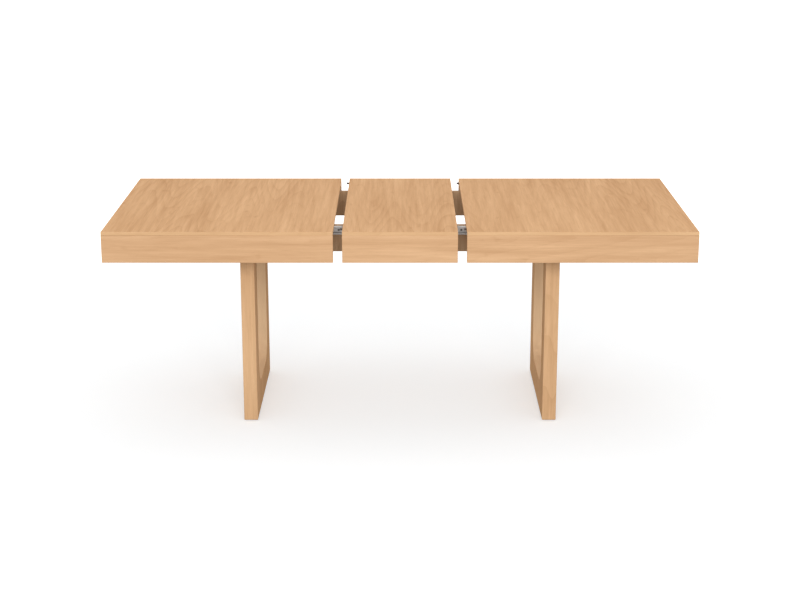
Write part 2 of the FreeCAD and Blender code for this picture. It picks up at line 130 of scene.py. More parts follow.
class FinishSettings(bpy.types.PropertyGroup):
    """Colours of the pieces and figure of the oak."""

    top: colour("Top", "Oak on the faces of the boards", 217, 170, 124)
    edge: colour("Edge", "Oak lipping on the edges of the boards", 223, 180, 135)
    apron: colour("Apron", "Oak of the aprons", 218, 174, 132)
    leg: colour("Leg", "Oak of the leg panels", 223, 179, 135)
    # The opening colour is the leg's oak made paler, as painted light on the faces inside the legs' openings.
    opening: colour("Opening", "Pale oak lipping round the openings in the legs", 240, 204, 163)
    # The rail colour is a darker, browner oak: partly the rails' own tone, partly painted shade of the gaps
    # under the top where they are seen.
    rail: colour("Rail", "Stained oak of the rails", 176, 144, 112)
    beech: colour("Beech", "Bare beech of the battens and carriers", 219, 187, 150)
    slide: colour("Slide", "Rolled steel of the ball slides", 178, 176, 174)
    zinc: colour("Zinc", "Zinc plate on brackets and bolts", 188, 190, 192)
    screw: colour("Screw", "Dark passivated screws", 92, 88, 84)
    lock: colour("Lock", "Black painted lock", 46, 45, 44)
    pin: colour("Pin", "Dark oiled steel of the alignment pins", 96, 89, 84)
    brass: colour("Brass", "Brass of the bushes and inserts", 196, 160, 92)
    ball: colour("Ball", "Polished balls", 214, 214, 216)
    cage: colour("Cage", "Pressed steel of the ball cages", 160, 158, 154)
    felt: colour("Felt", "Wool felt that the leaf rests on", 142, 136, 128)
    rubber: colour("Rubber", "Buffers that end the travel", 52, 51, 50)
    glide: colour("Glide", "Moulded foot glides", 88, 76, 66)
    veneer_width: length("Veneer width", "Distance between two crowns of the figure", 0.19)
    figure: factor("Figure", "Strength of the growth rings", 0.4)
    pores: factor("Pores", "Strength of the open pores", 0.5)


class ShapeSettings(bpy.types.PropertyGroup):
    """Small sizes that finish the solids."""

    board_arris: length("Board arris", "Rounding of the boards' edges", 1.0 * MM)
    apron_arris: length("Apron arris", "Rounding of the aprons' edges", 0.8 * MM)
    leg_arris: length("Leg arris", "Rounding of the leg panels' edges", 1.5 * MM)
    wood_arris: length("Wood arris", "Rounding of the rails and the hidden wooden pieces", 0.8 * MM)
    metal_arris: length("Metal arris", "Rounding of cut metal edges", 0.25 * MM)
    felt_arris: length("Felt arris", "Rounding of the felt pads", 0.6 * MM)
    rubber_arris: length("Rubber arris", "Rounding of the rubber buffers", 1.8 * MM)
    opening_radius: length("Opening radius", "Corner radius of the openings in the legs", 100 * MM)
    leg_member: length("Leg member", "Width of the frame round a leg's opening", 95 * MM)
    sheet: length("Sheet", "Thickness of the slides' steel", 1.5 * MM)
    lip: length("Lip", "Turned-in lip of the slide channels", 3 * MM)
    bend: length("Bend", "Middle radius of bends in the slides", 1.6 * MM)
    bracket_sheet: length("Bracket sheet", "Thickness of the angle brackets", 3 * MM)
    bracket_bend: length("Bracket bend", "Middle radius of the brackets' bends", 3 * MM)
    arc_steps: count("Arc steps", "Faces along a corner of a leg's opening", 16)
    round_steps: count("Round steps", "Faces round a turned piece", 32)
    bend_steps: count("Bend steps", "Faces along a bend in the slides", 5)
    bracket_steps: count("Bracket steps", "Faces along a bend in the brackets", 6)


class ScrewSettings(bpy.types.PropertyGroup):
    """Sizes of the countersunk screws."""

    head_radius: length("Head radius", "Radius of a screw's head", 4 * MM)
    head_depth: length("Head depth", "Depth of the countersunk head", 2.2 * MM)
    shank_radius: length("Shank radius", "Radius of a screw's shank", 2 * MM)
    length: length("Length", "Length from the head's flat to the tip", 16 * MM)
    tip_length: length("Tip length", "Length of the cone at the tip", 4 * MM)
    tip_radius: length("Tip radius", "Radius of the blunt tip", 0.4 * MM)
    slot_width: length("Slot width", "Width of the cross slot", 1.2 * MM)
    slot_length: length("Slot length", "Length of the cross slot", 4.8 * MM)
    slot_depth: length("Slot depth", "Depth of the cross slot", 1.2 * MM)


class BoltSettings(bpy.types.PropertyGroup):
    """Sizes of the hexagon bolts."""

    head_radius: length("Head radius", "Corner radius of the hexagon head", 5.8 * MM)
    head_height: length("Head height", "Height of the hexagon head", 4 * MM)
    shank_radius: length("Shank radius", "Radius of a bolt's shank", 3 * MM)
    shank_length: length("Shank length", "Length of a bolt under its head", 18 * MM)


class StageSettings(bpy.types.PropertyGroup):
    """Camera, lamps and floor."""

    distance: length("Distance", "From the camera to the table's middle, along the floor", 5.9)
    height: length("Height", "Camera above the floor", 2.081)
    pitch: number("Pitch", "How far the camera looks down", math.radians(16.115), subtype="ANGLE")
    lens: number("Lens", "Focal length on a 36 mm frame", 73.28, subtype="DISTANCE_CAMERA")
    sky: factor("Sky", "Light that comes evenly from all round", 0.79)
    front_lamp: power("Front lamp", "Soft lamp before the table", 110)
    back_lamp: power("Back lamp", "Weak lamp behind the table", 36)
    floor: colour("Floor", "Floor in the light, cool beside the warm light of the oak", 242, 245, 247)
    bounce: factor("Bounce", "Share of its own colour that the floor throws at the table", 0.62)
    shadow: factor("Shadow", "Strength of the shadow on the floor as it is seen", 0.77)
    fade_start: length("Fade start", "From the table's middle to where the floor starts to fade", 1.4)
    fade_end: length("Fade end", "From the table's middle to where the floor is white", 3.6)
    glow: number("Glow", "White that the floor's shadow is laid over", 1.79, min=0)


# Node trees written as expressions


class Field:
    """Value in a node tree. An expression on fields adds its Math nodes to the tree."""

    def __init__(self, graph, socket):
        self.graph = graph
        self.socket = socket

    def output(self, name):
        """Another output of the same node."""
        return Field(self.graph, self.socket.node.outputs[name])

    def __add__(self, other):
        return self.graph.math("ADD", self, other)

    def __sub__(self, other):
        return self.graph.math("SUBTRACT", self, other)

    def __rsub__(self, other):
        return self.graph.math("SUBTRACT", other, self)

    def __mul__(self, other):
        return self.graph.math("MULTIPLY", self, other)

    def __pow__(self, other):
        return self.graph.math("POWER", self, other)

    __radd__ = __add__
    __rmul__ = __mul__


class Graph:
    """Node tree that is filled by one method."""

    def __init__(self, tree):
        self.tree = tree
        tree.nodes.clear()

    def node(self, kind, sockets=None, output=0, items=0, **settings):
        """Add a node with its settings, switch items and socket values or links, and give one output."""
        made = self.tree.nodes.new(kind)
        for key, value in settings.items():
            setattr(made, key, value)
        while items and len(made.index_switch_items) < items:
            made.index_switch_items.new()
        for key, value in (sockets or {}).items():
            for part in value if isinstance(value, list) else [value]:
                if isinstance(part, Field):
                    self.tree.links.new(part.socket, made.inputs[key])
                else:
                    made.inputs[key].default_value = part
        return Field(self, made.outputs[output]) if len(made.outputs) else None

    def math(self, operation, *values):
        """Math node on fields and numbers."""
        return self.node("ShaderNodeMath", dict(enumerate(values)), operation=operation)

    def vector(self, *parts):
        """Vector from three fields or numbers."""
        return self.node("ShaderNodeCombineXYZ", dict(enumerate(parts)))

    def parts(self, vector):
        """Fields of a vector's three parts."""
        split = self.node("ShaderNodeSeparateXYZ", {0: vector})
        return [split.output(axis) for axis in AXES]

    def seen(self):
        """One for rays that show a thing to the eye, nothing for rays that only carry its light."""
        path = self.node("ShaderNodeLightPath", output="Is Camera Ray")
        return path + path.output("Is Glossy Ray") + path.output("Is Transmission Ray")


class Finish(Graph):
    """Material whose pattern follows the place on the object."""

    def __init__(self, name):
        self.material = bpy.data.materials.new(name)
        self.material.use_nodes = True
        super().__init__(self.material.node_tree)
        self.place = self.parts(self.node("ShaderNodeTexCoord", output="Object"))

    def noise(self, place, detail=2.0, roughness=0.5):
        """Soft noise about zero at a place given by three fields."""
        sockets = {"Vector": self.vector(*place), "Scale": 1.0, "Detail": detail, "Roughness": roughness}
        return self.node("ShaderNodeTexNoise", sockets, noise_dimensions="3D") - 0.5

    def waves(self, counts, **kind):
        """Soft noise about zero, with a count of waves in a metre along each axis."""
        return self.noise([part * times for part, times in zip(self.place, counts)], **kind)

    def step(self, value, low, high):
        """Smooth rise of a field from nothing at low to one at high."""
        sockets = {"Value": value, "From Min": low, "From Max": high}
        return self.node("ShaderNodeMapRange", sockets, interpolation_type="SMOOTHSTEP")

    def mix(self, share, first, second):
        """Colour between two colours, by the numbers of the Mix node's colour sockets."""
        return self.node("ShaderNodeMix", {0: share, 6: first, 7: second}, 2, data_type="RGBA")

    def shade(self, tone, rgb, dark, light, warmth=0.0):
        """Colour between a dark and a light share of a colour, by a tone."""
        return self.mix(tone, opaque(rgb, dark, warmth), opaque(rgb, light, warmth))

    def bump(self, height, strength, distance):
        """Normal from a height."""
        return self.node("ShaderNodeBump", {"Strength": strength, "Distance": distance, "Height": height})

    def surface(self, **sockets):
        """Close the material with one shader."""
        named = {key.replace("_", " ").title().replace("Ior", "IOR"): value for key, value in sockets.items()}
        shader = self.node("ShaderNodeBsdfPrincipled", named)
        self.node("ShaderNodeOutputMaterial", {"Surface": shader})


def opaque(rgb, share=1.0, warmth=0.0):
    """Colour with its alpha, lighter or darker by a share, and warmer where it is darker."""
    exponents = (1 - warmth, 1, 1 + warmth)
    return (*(min(1.0, part * share ** exponent) for part, exponent in zip(rgb, exponents)), 1.0)


# Finishes

# Waves in a metre across and along the grain of oak
OAK_WAVES = {"drift": (2.6, 0.5), "wander": (11, 1.4), "shown": (3.1, 0.9), "band": (13, 1.1),
             "streak": (52, 2.4), "fibre": (330, 9.0), "smudge": (30, 14), "pore": (950, 42)}
# Metres by which the crowns of the figure stray for one unit of each noise
OAK_STRAY = {"drift": 0.18, "wander": 0.01}
# Half the growth rings from a crown's middle to its edge, those in a metre along the grain and in each noise
OAK_RINGS = {"crown": -1.7, "along": 5.5, "drift": 4.0, "wander": 2.0}
# Tone of plain oak between dark and light, and how far each part of the figure shifts it
OAK_TONES = {"plain": 0.56, "band": 0.8, "streak": 1.2, "fibre": 0.55, "late wood": -0.7, "smudge": -0.25}
# Darkest and lightest wood and the pores or flecks, as shares of the wood's colour, and warmth of the dark
OAK_DARK, OAK_LIGHT, OAK_PORE, OAK_WARMTH = 0.78, 1.18, 0.62, 0.25
BEECH_DARK, BEECH_LIGHT, BEECH_FLECK, BEECH_WARMTH = 0.82, 1.12, 0.6, 0.2


def oak(name, rgb, grain, seed, crowns=1.0, contrast=1.0, gloss=0.02):
    """Oak with growth rings, streaks, fibres and open pores. The grain names the axes along and across it."""
    settings = bpy.context.scene.table_finishes
    finish = Finish(name)
    along, across = grain
    deep = next(axis for axis in AXES if axis not in grain)
    u, v, w = (finish.place[AXES.index(axis)] for axis in (across, along, deep))

    def noise(part, **kind):
        fine, coarse = OAK_WAVES[part]
        return finish.noise((u * fine + seed, v * coarse + seed, w * fine), **kind)

    def weight(part):
        return OAK_TONES[part] * contrast

    drift = noise("drift")
    wander = noise("wander")
    strayed = u + drift * OAK_STRAY["drift"] + wander * OAK_STRAY["wander"]
    crown = finish.math("COSINE", strayed * (2 * math.pi / settings.veneer_width))
    rings = crown * (OAK_RINGS["crown"] * crowns) + v * OAK_RINGS["along"]
    ring = finish.math("FRACT", rings + drift * OAK_RINGS["drift"] + wander * OAK_RINGS["wander"])
    late_wood = ring ** 3.0 * finish.step(noise("shown", detail=1.0), low=-0.16, high=0.14)
    fibre = noise("fibre")
    smudge = finish.step(noise("smudge", detail=1.0), low=0.17, high=0.32)
    pore = finish.step(noise("pore", detail=1.0), low=0.10, high=0.22) * (0.55 + 0.45 * ring)
    tone = OAK_TONES["plain"] + noise("band") * weight("band") + fibre * weight("fibre")
    tone = tone + noise("streak", detail=3.0, roughness=0.66) * weight("streak")
    tone = tone + late_wood * (weight("late wood") * settings.figure) + smudge * weight("smudge")
    wood = finish.shade(tone, rgb, OAK_DARK, OAK_LIGHT, OAK_WARMTH)
    wood = finish.mix(pore * (0.5 * settings.pores), wood, opaque(rgb, OAK_PORE, OAK_WARMTH))
    normal = finish.bump(fibre * 0.5 - pore, strength=0.22, distance=0.15 * MM)
    finish.surface(base_color=wood, roughness=0.6 + pore * 0.14 - tone * 0.08, specular_ior_level=gloss,
                   normal=normal)


def beech(name, rgb, along):
    """Plain beech with soft streaks and short dark flecks along one axis."""
    finish = Finish(name)

    def noise(fine, coarse, **kind):
        return finish.waves([coarse if axis == along else fine for axis in AXES], **kind)

    streak = noise(110, 5, detail=3.0)
    fleck = finish.step(noise(800, 150, detail=1.0), low=0.12, high=0.22)
    tone = 0.5 + noise(16, 1.8) * 0.8 + streak * 1.1
    wood = finish.shade(tone, rgb, BEECH_DARK, BEECH_LIGHT, BEECH_WARMTH)
    wood = finish.mix(fleck * 0.4, wood, opaque(rgb, BEECH_FLECK, BEECH_WARMTH))
    finish.surface(base_color=wood, roughness=0.62 + streak * 0.2, specular_ior_level=0.1,
                   normal=finish.bump(streak - fleck * 0.3, strength=0.15, distance=0.1 * MM))


def metal(name, rgb, roughness, metallic=1.0, drawn=(1.0, 1.0, 1.0), stain=0.5):
    """Metal with drawn lines, clouds in its plating and small stains."""
    finish = Finish(name)
    line = finish.waves([900 * share for share in drawn])
    cloud = finish.waves([38] * 3, detail=3.0)
    spot = finish.step(finish.waves([210] * 3), low=0.16, high=0.3)
    plate = finish.shade(0.55 + cloud * 0.9 + line * 0.7, rgb, dark=0.78, light=1.12)
    plate = finish.mix(spot * stain, plate, opaque(rgb, 0.6))
    finish.surface(base_color=plate, metallic=metallic,
                   roughness=roughness + cloud * 0.18 + spot * (0.25 * stain),
                   normal=finish.bump(line, strength=0.12, distance=0.05 * MM))


def felt(name, rgb):
    """Pressed wool felt with loose hairs."""
    finish = Finish(name)
    hair = finish.waves((700, 1900, 1900), detail=3.0, roughness=0.7)
    tone = 0.5 + hair * 1.5 + finish.waves([90] * 3) * 0.6
    wool = finish.shade(tone, rgb, dark=0.62, light=1.3)
    finish.surface(base_color=wool, roughness=0.92 + hair * 0.1, sheen_weight=0.35,
                   normal=finish.bump(hair, strength=0.6, distance=0.25 * MM))


def moulded(name, rgb, roughness):
    """Moulded rubber or plastic with a fine eroded skin."""
    finish = Finish(name)
    pit = finish.waves([1600] * 3)
    scuff = finish.step(finish.waves((60, 240, 120)), low=0.12, high=0.3)
    hull = finish.shade(0.5 + pit * 0.8, rgb, dark=0.85, light=1.15)
    hull = finish.mix(scuff * 0.25, hull, opaque(rgb, 1.6))
    finish.surface(base_color=hull, roughness=roughness + scuff * 0.2 + pit * 0.15,
                   normal=finish.bump(pit, strength=0.2, distance=0.06 * MM))


# Maker of each finish, its colour setting, and the maker's other choices
FINISHES = {
    "oak_top": (oak, "top", dict(grain="YX", seed=3.7, crowns=0.85, contrast=1.12)),
    "oak_edge_along": (oak, "edge", dict(grain="XZ", seed=11.3, crowns=0.2, contrast=0.6)),
    "oak_edge_across": (oak, "edge", dict(grain="YZ", seed=17.9, crowns=0.2, contrast=0.6)),
    "oak_apron_along": (oak, "apron", dict(grain="XZ", seed=23.1, crowns=0.55)),
    "oak_apron_across": (oak, "apron", dict(grain="YZ", seed=29.8, crowns=0.55)),
    "oak_leg": (oak, "leg", dict(grain="ZY", seed=37.2, crowns=0.8, gloss=0.0)),
    # The opening finishes are paler oak: painted light on the faces inside the legs' openings.
    "oak_opening_upright": (oak, "opening", dict(grain="ZX", seed=47.4, crowns=0.2, contrast=0.5, gloss=0.0)),
    "oak_opening_level": (oak, "opening", dict(grain="YX", seed=53.9, crowns=0.2, contrast=0.5, gloss=0.0)),
    # The rail finish is darker oak: partly the rails' own tone, partly painted shade.
    "oak_rail": (oak, "rail", dict(grain="ZX", seed=41.6, crowns=0.4, contrast=1.3)),
    "beech_along": (beech, "beech", dict(along="X")),
    "beech_across": (beech, "beech", dict(along="Y")),
    "beech_upright": (beech, "beech", dict(along="Z")),
    "slide_steel": (metal, "slide", dict(roughness=0.42, metallic=0.85, drawn=(0.02, 1, 1))),
    "zinc_steel": (metal, "zinc", dict(roughness=0.38, metallic=0.9)),
    "screw_steel": (metal, "screw", dict(roughness=0.4, metallic=0.9)),
    "lock_steel": (metal, "lock", dict(roughness=0.5, metallic=0.0)),
    "pin_steel": (metal, "pin", dict(roughness=0.45, metallic=0.5, drawn=(1, 0.1, 0.1))),
    "brass": (metal, "brass", dict(roughness=0.3)),
    "ball_chrome": (metal, "ball", dict(roughness=0.1, stain=0.1)),
    "cage_steel": (metal, "cage", dict(roughness=0.36, metallic=0.9, drawn=(0.02, 1, 1))),
    "felt": (felt, "felt", {}),
    "rubber": (moulded, "rubber", dict(roughness=0.75)),
    "glide_plastic": (moulded, "glide", dict(roughness=0.5)),
}


def finish_of(name):
    """Finish by name, made the first time that it is asked for."""
    finish_name = name + "_finish"
    if finish_name not in bpy.data.materials:
        maker, setting, choices = FINISHES[name]
        maker(finish_name, getattr(bpy.context.scene.table_finishes, setting), **choices)
    return bpy.data.materials[finish_name]


# Reading the frame

# Part of a fastener's length in which its end is looked at
END_SHARE = 0.01


class Solid:
    """Points of one solid, with its lowest and highest corner, its middle and its size."""

    def __init__(self, points):
        self.points = np.array(points)
        self.low = self.points.min(0)
        self.high = self.points.max(0)
        self.middle = (self.low + self.high) / 2
        self.size = self.high - self.low


def merged(node):
    """Mesh of a CAD node with its doubled points made one."""
    bm = bmesh.new()
    bm.from_mesh(frame["nodes"][node].data)
    bmesh.ops.remove_doubles(bm, verts=bm.verts, dist=MERGE)
    return bm


def cleaned(node):
    """Mesh of a CAD node with each flat face in one."""
    bm = merged(node)
    bmesh.ops.dissolve_limit(bm, angle_limit=LEVEL, verts=bm.verts, edges=bm.edges)
    return bm


def solids_of(node):
    """Separate solids of a CAD node."""
    bm = merged(node)
    seen = set()
    solids = []
    for first in bm.verts:
        if first in seen:
            continue
        seen.add(first)
        waiting = [first]
        points = []
        while waiting:
            vert = waiting.pop()
            points.append(tuple(vert.co))
            for edge in vert.link_edges:
                other = edge.other_vert(vert)
                if other not in seen:
                    seen.add(other)
                    waiting.append(other)
        solids.append(Solid(points))
    bm.free()
    return solids


def head_and_way(solid):
    """Middle of a fastener's head and the way that its tip points."""
    axis = int(np.argmax(solid.size))
    spread = np.abs(solid.points - solid.middle)
    spread[:, axis] = 0
    at_low, at_high = (
        spread[np.abs(solid.points - end)[:, axis] < solid.size[axis] * END_SHARE].max()
        for end in (solid.low, solid.high))
    way = np.zeros(3)
    way[axis] = 1 if at_low > at_high else -1
    return Vector(solid.middle - way * solid.size / 2), Vector(way)


# Shaping meshes


def ray(angle):
    """Point on a circle of radius one."""
    return Vector((math.cos(angle), math.sin(angle)))


def block(bm, low, high):
    """Add a box between two corners."""
    low, high = Vector(low), Vector(high)
    matrix = Matrix.Translation((low + high) / 2) @ Matrix.Diagonal((*(high - low), 1))
    bmesh.ops.create_cube(bm, size=1, matrix=matrix)


def skin(bm, loops):
    """Add a strip of faces between each loop of vertices and the next. A loop may be one vertex."""
    faces = []
    for first, last in zip(loops, loops[1:]):
        for step in range(max(len(first), len(last))):
            order = ((first, step - 1), (first, step), (last, step), (last, step - 1))
            corners = [loop[index % len(loop)] for loop, index in order]
            faces.append(bm.faces.new(list(dict.fromkeys(corners))))
    return faces


def extruded(bm, outline, axis, *levels):
    """Add a prism with a flat outline, given in the two other axes in order, between levels on one axis."""
    index = AXES.index(axis)
    loops = [[bm.verts.new((*pair[:index], level, *pair[index:])) for pair in outline] for level in levels]
    faces = [bm.faces.new(loop) for loop in loops] + skin(bm, loops)
    bmesh.ops.recalc_face_normals(bm, faces=faces)


def turned(bm, profile, point, way, steps):
    """Add a turned solid, from pairs of radius and height along its axis, at a point."""
    matrix = Matrix.Translation(point) @ Vector(way).to_track_quat("Z", "Y").to_matrix().to_4x4()
    rays = [ray(2 * math.pi * step / steps) for step in range(steps)]
    rings = {}
    for radius, height in profile:
        if (radius, height) not in rings:
            places = [Vector((*(spoke * radius), height)) for spoke in (rays if radius else rays[:1])]
            rings[radius, height] = [bm.verts.new(matrix @ place) for place in places]
    faces = skin(bm, [rings[pair] for pair in profile])
    for face in faces:
        face.smooth = True
    bmesh.ops.recalc_face_normals(bm, faces=faces)


def turned_solids(node, profile_of, way):
    """Mesh with a turned solid in the place of each one of a CAD node, from its end along a way."""
    bm = bmesh.new()
    for solid in solids_of(node):
        start = Vector(solid.middle - np.array(way) * solid.size / 2)
        turned(bm, profile_of(solid), start, way, bpy.context.scene.table_shapes.round_steps)
    return bm


def soften(bm, width, steps=2, skip=None):
    """Round the sharp edges of a mesh, with its flat faces left flat."""
    edges = [edge for edge in bm.edges
             if edge.is_manifold and edge.calc_face_angle() > SHARP and not (skip and skip(edge))]
    made = bmesh.ops.bevel(bm, geom=edges, offset=width, segments=steps, profile=0.5,
                           affect="EDGES", clamp_overlap=True)
    for face in made["faces"]:
        face.smooth = True


def as_mesh(bm, name):
    """Plain mesh of a bmesh, which is freed."""
    mesh = bpy.data.meshes.new(name)
    bm.to_mesh(mesh)
    bm.free()
    return mesh


def added(name, data):
    """New object in the scene."""
    obj = bpy.data.objects.new(name, data)
    bpy.context.scene.collection.objects.link(obj)
    return obj


def discard(obj):
    """Remove an object and its mesh."""
    mesh = obj.data
    bpy.data.objects.remove(obj)
    bpy.data.meshes.remove(mesh)


def applied(obj):
    """Plain mesh of an object with its modifiers. The object is removed."""
    graph = bpy.context.evaluated_depsgraph_get()
    mesh = bpy.data.meshes.new_from_object(obj.evaluated_get(graph))
    obj.modifiers.clear()
    discard(obj)
    return mesh


def carved(bm, tool):
    """Mesh with the solids of another one cut out of it, as a new bmesh."""
    body = added("carved", as_mesh(bm, "carved"))
    cutter = added("cutter", as_mesh(tool, "cutter"))
    cut = body.modifiers.new("carve", "BOOLEAN")
    cut.operation = "DIFFERENCE"
    cut.solver = "EXACT"
    cut.object = cutter
    mesh = applied(body)
    discard(cutter)
    result = bmesh.new()
    result.from_mesh(mesh)
    bpy.data.meshes.remove(mesh)
    return result


# Placing pieces


def piece(node, name, mesh, slot, *finish_names):
    """Put a finished mesh in the place of a CAD node, in the finish of its slot unless others are named."""
    if isinstance(mesh, bmesh.types.BMesh):
        mesh = as_mesh(mesh, name)
    obj = added(name, mesh)
    # A mesh from Geometry Nodes has its finish already
    for finish_name in (finish_names or [slot])[len(mesh.materials):]:
        mesh.materials.append(finish_of(finish_name))
    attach(obj, frame["nodes"][node]["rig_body"])
    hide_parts(node)


def bar(node, name, width, slot, *finish_names, steps=2):
    """Bar or block, or a group of them, with softened edges."""
    bm = bmesh.new()
    for solid in solids_of(node):
        block(bm, solid.low, solid.high)
    soften(bm, width, steps)
    piece(node, name, bm, slot, *finish_names)


def dress(node, finish_name):
    """Give a CAD node that stays its finish."""
    for material_slot in frame["nodes"][node].material_slots:
        material_slot.material = finish_of(finish_name)


# Boards, aprons, legs and rails

# Steps in the rounding of edges that show
FINE_STEPS = 3
# Start of the cutter of a bush's socket before the bush, and its end, as shares of the bush's length
SOCKET_SHARES = (-0.5, 1.1)


def socket_profile(bush):
    """Half section of the cutter of a bush's socket, which starts outside the board."""
    radius = bush.size[1] / 2
    start, end = (bush.size[0] * share for share in SOCKET_SHARES)
    return [(0, start), (radius, start), (radius, end), (0, end)]


def board(node, name, bushes=None):
    """Top board with rounded edges, lipped all round, and sockets for its bushes."""
    bm = bmesh.new()
    block(bm, *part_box(node))
    soften(bm, bpy.context.scene.table_shapes.board_arris, FINE_STEPS)
    if bushes:
        bm = carved(bm, turned_solids(bushes, socket_profile, (-1, 0, 0)))
    for face in bm.faces:
        lipping = 1 if abs(face.normal.y) > abs(face.normal.x) else 2
        face.material_index = 0 if abs(face.normal.z) > BROAD_SHARE else lipping
    piece(node, name, bm, "oak_top", "oak_top", "oak_edge_along", "oak_edge_across")


class TABLE_OT_boards(bpy.types.Operator):
    """Make the two top halves' boards and the leaf's board"""

    bl_idname = "table.boards"
    bl_label = "Top boards"

    def execute(self, context):
        board("left_top_board", "left_board", "left_pin_bushes")
        board("leaf_board", "middle_board", "leaf_pin_bushes")
        board("right_top_board", "right_board")
        return {"FINISHED"}


class TABLE_OT_aprons(bpy.types.Operator):
    """Make the aprons of the top halves, mitred at the corners, and the leaf's aprons"""

    bl_idname = "table.aprons"
    bl_label = "Aprons"

    def execute(self, context):
        width = context.scene.table_shapes.apron_arris
        end_low, end_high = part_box("right_end_apron")
        inner, reach = end_low.x, end_high.y
        thick = end_high.x - end_low.x

        def at_mitre(edge):
            first, last = (vert.co for vert in edge.verts)
            return abs(first.z - last.z) > width and abs(first.x) > inner - MERGE

        names = {f"{side}_{row}_apron": f"{side}_{row}_board" for side in SIDES for row in ("end", *ROWS)}
        names.update({f"leaf_{row}_apron": f"middle_{row}_board" for row in ROWS})
        for node, name in names.items():
            at_end = "end" in node
            bm = bmesh.new()
            block(bm, *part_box(node))
            # At a mitre the corners of the inner face are drawn back by the apron's thickness
            for vert in bm.verts:
                x, y = abs(vert.co.x), abs(vert.co.y)
                if at_end and x < inner + MERGE:
                    vert.co.y *= (reach - thick) / y
                elif x > inner + MERGE and y < reach - MERGE:
                    vert.co.x *= inner / x
            soften(bm, width, FINE_STEPS, at_mitre)
            piece(node, name, bm, "oak_apron", "oak_apron_across" if at_end else "oak_apron_along")
        return {"FINISHED"}


def leg_outlines(low, high, shapes):
    """Matching points of a leg panel's outside and of its rounded opening, as pairs across and up."""
    radius, steps = shapes.opening_radius, shapes.arc_steps
    reach = radius + shapes.leg_member
    outside, opening = [], []
    for turn in range(4):
        first, second = ray(QUARTER * turn), ray(QUARTER * (turn + 1))
        outward = first + second
        corner = Vector((high.y if outward.x > 0 else low.y, high.z if outward.y > 0 else low.z))
        middle = corner - outward * reach
        for step in range(steps + 1):
            opening.append(middle + ray(QUARTER * (turn + step / steps)) * radius)
            # Along one side of the square corner, then along the other
            share = 2 * step / steps
            outside.append(middle + (first * min(1, 2 - share) + second * min(1, share)) * reach)
    return outside, opening


def leg_panel(node, shapes):
    """Mesh of a leg panel, with the faces of its opening in two finishes of its own, in paler oak as painted
    light.
    """
    low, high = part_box(node)
    bm = bmesh.new()
    outside, opening = leg_outlines(low, high, shapes)
    order = ((outside, low.x), (opening, low.x), (opening, high.x), (outside, high.x))
    loops = [[bm.verts.new((level, *pair)) for pair in outline] for outline, level in order]
    skin(bm, loops[:2])
    skin(bm, [*loops[2:], loops[0]])
    for face in skin(bm, loops[1:3]):
        run = face.verts[1].co - face.verts[0].co
        face.smooth = True
        face.material_index = 1 if abs(run.z) > abs(run.y) else 2
    bmesh.ops.recalc_face_normals(bm, faces=bm.faces)
    soften(bm, shapes.leg_arris, FINE_STEPS)
    return bm


class TABLE_OT_legs(bpy.types.Operator):
    """Make the two leg panels with their rounded openings"""

    bl_idname = "table.legs"
    bl_label = "Leg panels"

    def execute(self, context):
        for side in SIDES:
            node = side + "_leg_panel"
            bm = leg_panel(node, context.scene.table_shapes)
            piece(node, side + "_leg", bm, "oak_leg", "oak_leg", "oak_opening_upright", "oak_opening_level")
        return {"FINISHED"}


class TABLE_OT_rails(bpy.types.Operator):
    """Make the three rails of the base"""

    bl_idname = "table.rails"
    bl_label = "Rails"

    def execute(self, context):
        for node in ("front_rail", "rear_rail", "middle_rail"):
            # The rails' oak is darker partly by their own tone, partly by painted shade.
            bar(node, node + "_bar", context.scene.table_shapes.wood_arris, "oak_rail")
        return {"FINISHED"}


class TABLE_OT_battens(bpy.types.Operator):
    """Make the carriers, battens and blocks under the boards"""

    bl_idname = "table.battens"
    bl_label = "Carriers and battens"

    def execute(self, context):
        width = context.scene.table_shapes.wood_arris
        kinds = {"front_carrier": "along", "rear_carrier": "along", "stop_blocks": "along",
                 "outer_batten": "across", "inner_batten": "across"}
        ways = {f"{side}_{kind}": way for side in SIDES for kind, way in kinds.items()}
        ways.update(leaf_left_batten="across", leaf_right_batten="across")
        for node, way in ways.items():
            bar(node, node + "_bar", width, "beech", "beech_" + way)
        for side in SIDES:
            node = side + "_corner_blocks"
            bm = cleaned(node)
            soften(bm, width)
            piece(node, node + "_bar", bm, "beech", "beech_upright")
        return {"FINISHED"}


# Slides and brackets

# Room round a screw in its hole, how far the cutter of the hole reaches above the sheet and how deep it goes
HOLE_ROOM = 0.1 * MM
HOLE_OVERRUN = 1 * MM
HOLE_DEPTH = 4 * MM
# Sides of a screw, a bolt's shank and a hole
SCREW_SIDES = 24


def sheet_section(path, thick, bend, steps):
    """Outline of a sheet that follows a path of right-angled bends, both as pairs."""
    points = [Vector(pair) for pair in path]
    ways = [(last - first).normalized() for first, last in zip(points, points[1:])]
    normals = [Vector((-way.y, way.x)) for way in ways]
    sides = []
    for offset in (thick / 2, -thick / 2):
        side = [points[0] + normals[0] * offset]
        for corner, before, after in zip(points[1:], ways, ways[1:]):
            turn = math.copysign(1, before.cross(after))
            middle = corner + (after - before) * bend
            start = math.atan2(-after.y, -after.x)
            for step in range(steps + 1):
                side.append(middle + ray(start + turn * QUARTER * step / steps) * (bend - turn * offset))
        sides.append([*side, points[-1] + normals[-1] * offset])
    return sides[0] + sides[1][::-1]


